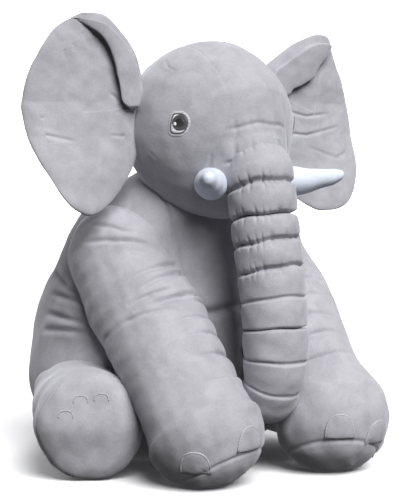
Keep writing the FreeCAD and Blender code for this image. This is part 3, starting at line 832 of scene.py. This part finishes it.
# creases on the front of each ear, each with its depth
EAR_CREASES = {
    "right": [(((148, 441), (118, 436), (88, 430)), 2.4), (((147, 458), (136, 459), (124, 460)), 1.8),
              (((144, 484), (136, 483), (130, 482)), 1.6), (((92, 578), (88, 560), (86, 545)), 2.0),
              (((100, 574), (100, 555), (98, 535)), 2.2), (((80, 584), (74, 566), (66, 548)), 2.4),
              (((40, 492), (26, 482), (12, 470)), 3.0), (((6, 440), (22, 436), (40, 437)), 1.6)],
    "left": [(((18, 470), (60, 462), (105, 466)), 2.2), (((10, 440), (60, 436), (120, 447)), 2.6),
             (((60, 420), (110, 404), (150, 418)), 2.0), (((96, 560), (92, 530), (84, 505)), 1.6)],
}


def ear_lean(side, out, up):
    """How far the ear sweeps forward (+) or back (-) of its hinge."""
    lean = np.interp(up, [330, 357, 383, 436, 480, 600], [18, 8, -1, -27, -38, -40])
    if side == "left":
        lean = lean + 10
    return lean * np.clip(out / 150, 0, 1.1) ** 1.3 + 5.0 * np.sin(np.clip(out, 0, 160) / 160 * math.pi)


def make_ears():
    """Both ears: two quilted leaves joined at the rim, rolled over to the front near the top."""
    thick, bend = sizes().ear_thickness / MM, 8.5  # and the radius of the roll
    for side, sign in SIDES.items():
        hinge = JOINTS[f"ear_fold_{side}"]
        spokes = through(EAR_RIM[side] * 3, 900)[300:600] - EAR_MIDDLE
        found = np.degrees(np.arctan2(spokes[:, 0], spokes[:, 1]))
        order = np.argsort(found)
        bearing = np.linspace(-180, 180, 280, endpoint=False)
        rim = np.interp(bearing, found[order], np.linalg.norm(spokes, axis=1)[order], period=360)
        blur = np.hanning(9) / np.hanning(9).sum()
        rim = np.convolve(np.r_[rim[-4:], rim, rim[:4]], blur, mode="valid")
        turn = np.radians(bearing)
        begin, full, fade, end, far = EAR_FOLD[side]
        round_end = np.clip((bearing - begin) / (full - begin), 0, 1)
        fold = np.sqrt(1 - (1 - round_end) ** 2) * np.clip((end - bearing) / (end - fade), 0, 1) ** 0.8
        bow = np.maximum(bend * ease(fold, 0, 0.45), 0.5)
        whole = rim + np.where(fold > 0, (math.pi - 1) * bow + far * fold, 0)
        front, back = [], []
        for f in np.linspace(0, 1, 100) ** 0.85:
            run = whole * f
            past = np.where(fold > 0, np.clip(run - rim + bow, 0, None), 0)
            arc = np.minimum(past / bow, math.pi)
            flat = run - past + bow * np.sin(arc) - np.clip(past - bow * math.pi, 0, None)
            lift = bow * (1 - np.cos(arc))
            half = thick / 2 * np.sqrt(max(1 - f ** 6, 0)) * (1 - 0.15 * fold)
            for store, way in ((front, 1), (back, -1)):
                r, depth = flat + way * half * np.sin(arc), lift + way * half * np.cos(arc)
                store.append(np.stack([EAR_MIDDLE[0] + r * np.sin(turn), depth,
                                       EAR_MIDDLE[1] + r * np.cos(turn)], axis=-1))
        grid = np.array(front + back[::-1][1:])
        out, depth, up = (grid[..., k] for k in range(3))
        face = (np.arange(len(grid)) < 70)[:, None]
        flat = grid[..., [0, 2]]
        amount = 0.8 * lumps(grid, 51 + sign, 60) + 0.3 * lumps(grid, 52 + sign, 22)
        for path, depth_of in EAR_CREASES[side]:
            amount += face * crease(flat, path, 2.4, depth_of)
        grid = np.stack([sign * (110 + out), hinge[1] - depth - ear_lean(side, out, up), up], axis=-1)
        piece = skin(f"ear_skin_{side}", push(grid, amount), material("plush"))
        settle(piece, f"ear_{side}",
               [f"ear_front_panel_{side}", f"ear_back_panel_{side}", f"ear_wadding_{side}"])


# --- tusks, tail and stage --------------------------------------------------------------------------

def make_tusks():
    """Both tusks, which point outwards and curve up a little."""
    for side, sign in SIDES.items():
        root = np.array([sign * 49.0, -124.0, 376.0])
        way = np.array([sign * math.sin(math.radians(38)), -math.cos(math.radians(38)), 0.0])
        profile = [(-30, 0), (-28, 12), (-18, 19), (0, 21.5), (22, 20.5), (46, 16.5), (70, 12), (86, 9),
                   (94, 5), (96, 0)]
        grid, s, _ = limb(root, root + way, (0, 0, 1), profile, 110, 96)
        grid[..., 2] += 9 * (np.clip(s / 90, 0, 1.1) ** 2)[:, None]
        grid = push(grid, 0.5 * lumps(grid, 61, 22) - bell(s - 6, 2.5)[:, None])
        settle(skin(f"tusk_skin_{side}", grid, material("tusk")), "head",
               [f"tusk_cover_{side}", f"tusk_stuffing_{side}"])


def make_tail():
    """The thin tail and the tuft of strands at its end."""
    top = JOINTS["tail_wag"]
    profile = [(-10, 0), (-8, 5), (0, 9), (30, 9), (60, 8), (92, 7), (99, 4), (101, 0)]
    grid = limb(top, top + (0, 0, -1), (0, -1, 0), profile, 90, 64)[0]
    tail = skin("tail_skin", push(grid, 0.4 * lumps(grid, 71, 18)), material("plush"))
    settle(tail, "tail", ["tail_cover", "tail_stuffing"])
    low, high = (np.array(c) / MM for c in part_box("tail_tuft"))
    middle = (low + high) / 2
    profile = [(-20, 0), (-19, 6), (-8, 9), (8, 12), (17, 10), (21, 0)]
    grid, s, angle = limb(middle, middle + (0, 0, -1), (0, -1, 0), profile, 70, 96)
    strands = 1.6 * np.cos(16 * angle + 0.3 * np.sin(5 * angle)) * ease(s, -18, 0)[:, None]
    tuft = skin("tail_tuft_skin", push(grid, strands), material("plush"))
    settle(tuft, "tail", ["tail_tuft"])


def make_care_label():
    """A folded ribbon that hangs from the back seam, a little bowed away from the plush."""
    low, high = (np.array(corner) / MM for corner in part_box("care_label"))
    middle, half = (low + high) / 2, (high - low) / 2
    turn = np.linspace(0, 2 * math.pi, 48, endpoint=False)
    across, through_it = (np.sign(v) * np.abs(v) ** 0.4 for v in (np.cos(turn), np.sin(turn)))
    down = np.linspace(1, -1, 26)[:, None]
    thin = min(half[1], 0.7) * (0.3 + 0.7 * np.sqrt(1 - down ** 8))
    bow = 0.5 * np.sin(2.4 * down) + 0.35 * across * down
    grid = np.stack([half[0] * across + 0 * down, thin * through_it + bow,
                     half[2] * down + 0 * across], axis=-1)
    ribbon = skin("care_label_ribbon", middle + grid, material("ribbon"))
    settle(ribbon, "torso", ["care_label"])


CAMERA_PLACE = (-1.291, -1.878, 0.456)
AIM = Vector((0, -0.035, 0.283))
LIGHT_FROM = AIM + Vector((-0.4, -2.2, 2.1))


def face_to(thing, place):
    """Stands a light or a camera at a place, turned to the middle of the elephant."""
    thing.location = place
    thing.rotation_euler = (AIM - thing.location).to_track_quat("-Z", "Y").to_euler()
    bpy.context.scene.collection.objects.link(thing)
    return thing


def paper_sheet(name, finish, size, place, turn):
    """A flat sheet of studio paper."""
    bpy.ops.object.select_all(action="DESELECT")
    bpy.ops.mesh.primitive_plane_add(size=size, location=place, rotation=turn)
    sheet = bpy.context.object
    sheet.name = name
    sheet.data.materials.append(material(finish))
    return sheet


def make_stage():
    """A white floor and backdrop, one bank of softboxes ahead and above, and the camera."""
    floor = paper_sheet("floor", "floor", 30, (0, 0, 0), (0, 0, 0))
    floor.visible_diffuse = False  # little light comes back up into the folds
    paper_sheet("backdrop", "backdrop", 16, (0, 4.5, 0), (math.pi / 2, 0, -0.6))
    scene = bpy.context.scene
    scene.view_settings.view_transform = "Standard"
    scene.world = bpy.data.worlds.new("studio")
    scene.world.use_nodes = True
    sky = scene.world.node_tree.nodes["Background"]
    sky.inputs["Color"].default_value = (1, 1, 1, 1)
    sky.inputs["Strength"].default_value = 0.05
    softboxes = bpy.data.lights.new("bank of softboxes", "SUN")
    softboxes.energy, softboxes.angle = 5.0, math.radians(38)
    face_to(bpy.data.objects.new("bank of softboxes", softboxes), LIGHT_FROM)
    lens = bpy.data.cameras.new("camera")
    lens.lens, lens.sensor_width = 121, 36
    scene.camera = face_to(bpy.data.objects.new("camera", lens), CAMERA_PLACE)


# --- the add-on -------------------------------------------------------------------------------------

class ELEPHANT_OT_torso(bpy.types.Operator):
    """Fill the torso, with its belly panel, back seam and creased haunches"""
    bl_idname = "elephant.torso"
    bl_label = "Torso"

    def execute(self, context):
        make_torso()
        return {"FINISHED"}


class ELEPHANT_OT_head(bpy.types.Operator):
    """Fill the round head and gather its brow to the trunk's first ring"""
    bl_idname = "elephant.head"
    bl_label = "Head"

    def execute(self, context):
        make_head()
        return {"FINISHED"}


class ELEPHANT_OT_eyes(bpy.types.Operator):
    """Embroider both eyes on the finished head"""
    bl_idname = "elephant.eyes"
    bl_label = "Eyes"

    def execute(self, context):
        make_eyes()
        return {"FINISHED"}


class ELEPHANT_OT_trunk(bpy.types.Operator):
    """Fill the three parts of the trunk and draw its stitched rings in"""
    bl_idname = "elephant.trunk"
    bl_label = "Trunk"

    def execute(self, context):
        make_trunk()
        return {"FINISHED"}


class ELEPHANT_OT_front_legs(bpy.types.Operator):
    """Fill both front legs, with ribs on their inner sides"""
    bl_idname = "elephant.front_legs"
    bl_label = "Front legs"

    def execute(self, context):
        make_front_legs()
        return {"FINISHED"}


class ELEPHANT_OT_hind_legs(bpy.types.Operator):
    """Fill both hind legs, with their round soles"""
    bl_idname = "elephant.hind_legs"
    bl_label = "Hind legs"

    def execute(self, context):
        make_hind_legs()
        return {"FINISHED"}


class ELEPHANT_OT_toenails(bpy.types.Operator):
    """Stitch the toenails on the finished feet"""
    bl_idname = "elephant.toenails"
    bl_label = "Toenails"

    def execute(self, context):
        make_toenails()
        return {"FINISHED"}


class ELEPHANT_OT_ears(bpy.types.Operator):
    """Make both quilted ears, with their rims folded over"""
    bl_idname = "elephant.ears"
    bl_label = "Ears"

    def execute(self, context):
        make_ears()
        return {"FINISHED"}


class ELEPHANT_OT_tusks(bpy.types.Operator):
    """Fill both white tusks"""
    bl_idname = "elephant.tusks"
    bl_label = "Tusks"

    def execute(self, context):
        make_tusks()
        return {"FINISHED"}


class ELEPHANT_OT_tail(bpy.types.Operator):
    """Fill the tail and make its tuft"""
    bl_idname = "elephant.tail"
    bl_label = "Tail"

    def execute(self, context):
        make_tail()
        return {"FINISHED"}


class ELEPHANT_OT_care_label(bpy.types.Operator):
    """Fold the blank ribbon beside the tail"""
    bl_idname = "elephant.care_label"
    bl_label = "Care label"

    def execute(self, context):
        make_care_label()
        return {"FINISHED"}


class ELEPHANT_OT_stage(bpy.types.Operator):
    """Lay the floor and set the light and the camera"""
    bl_idname = "elephant.stage"
    bl_label = "Stage"

    def execute(self, context):
        make_stage()
        return {"FINISHED"}


PIECES = (ELEPHANT_OT_torso, ELEPHANT_OT_head, ELEPHANT_OT_eyes, ELEPHANT_OT_trunk,
          ELEPHANT_OT_front_legs, ELEPHANT_OT_hind_legs, ELEPHANT_OT_toenails, ELEPHANT_OT_ears,
          ELEPHANT_OT_tusks, ELEPHANT_OT_tail, ELEPHANT_OT_care_label, ELEPHANT_OT_stage)


class ELEPHANT_PT_pieces(bpy.types.Panel):
    """The sizes, the colours and the pieces in the order in which they are made"""
    bl_idname = "ELEPHANT_PT_pieces"
    bl_label = "Stuffed Elephant"
    bl_space_type = "VIEW_3D"
    bl_region_type = "UI"
    bl_category = "Elephant"

    def draw(self, context):
        for group in (sizes(), colours()):
            box = self.layout.box()
            for name in type(group).__annotations__:
                box.prop(group, name)
        for piece in PIECES:
            self.layout.operator(piece.bl_idname)


CLASSES = (ElephantSizes, ElephantColours, *PIECES, ELEPHANT_PT_pieces)


def register():
    for cls in CLASSES:
        bpy.utils.register_class(cls)
    bpy.types.Scene.elephant_sizes = bpy.props.PointerProperty(type=ElephantSizes)
    bpy.types.Scene.elephant_colours = bpy.props.PointerProperty(type=ElephantColours)


def unregister():
    del bpy.types.Scene.elephant_sizes, bpy.types.Scene.elephant_colours
    for cls in reversed(CLASSES):
        bpy.utils.unregister_class(cls)


def corners(box):
    """A box as plain lists."""
    return [list(map(float, corner)) for corner in box]


def main():
    register()
    bpy.ops.elephant.torso()
    bpy.ops.elephant.head()
    bpy.ops.elephant.eyes()
    bpy.ops.elephant.trunk()
    bpy.ops.elephant.front_legs()
    bpy.ops.elephant.hind_legs()
    bpy.ops.elephant.toenails()
    bpy.ops.elephant.ears()
    bpy.ops.elephant.tusks()
    bpy.ops.elephant.tail()
    bpy.ops.elephant.care_label()
    bpy.ops.elephant.stage()


if __name__ == "__main__":
    main()
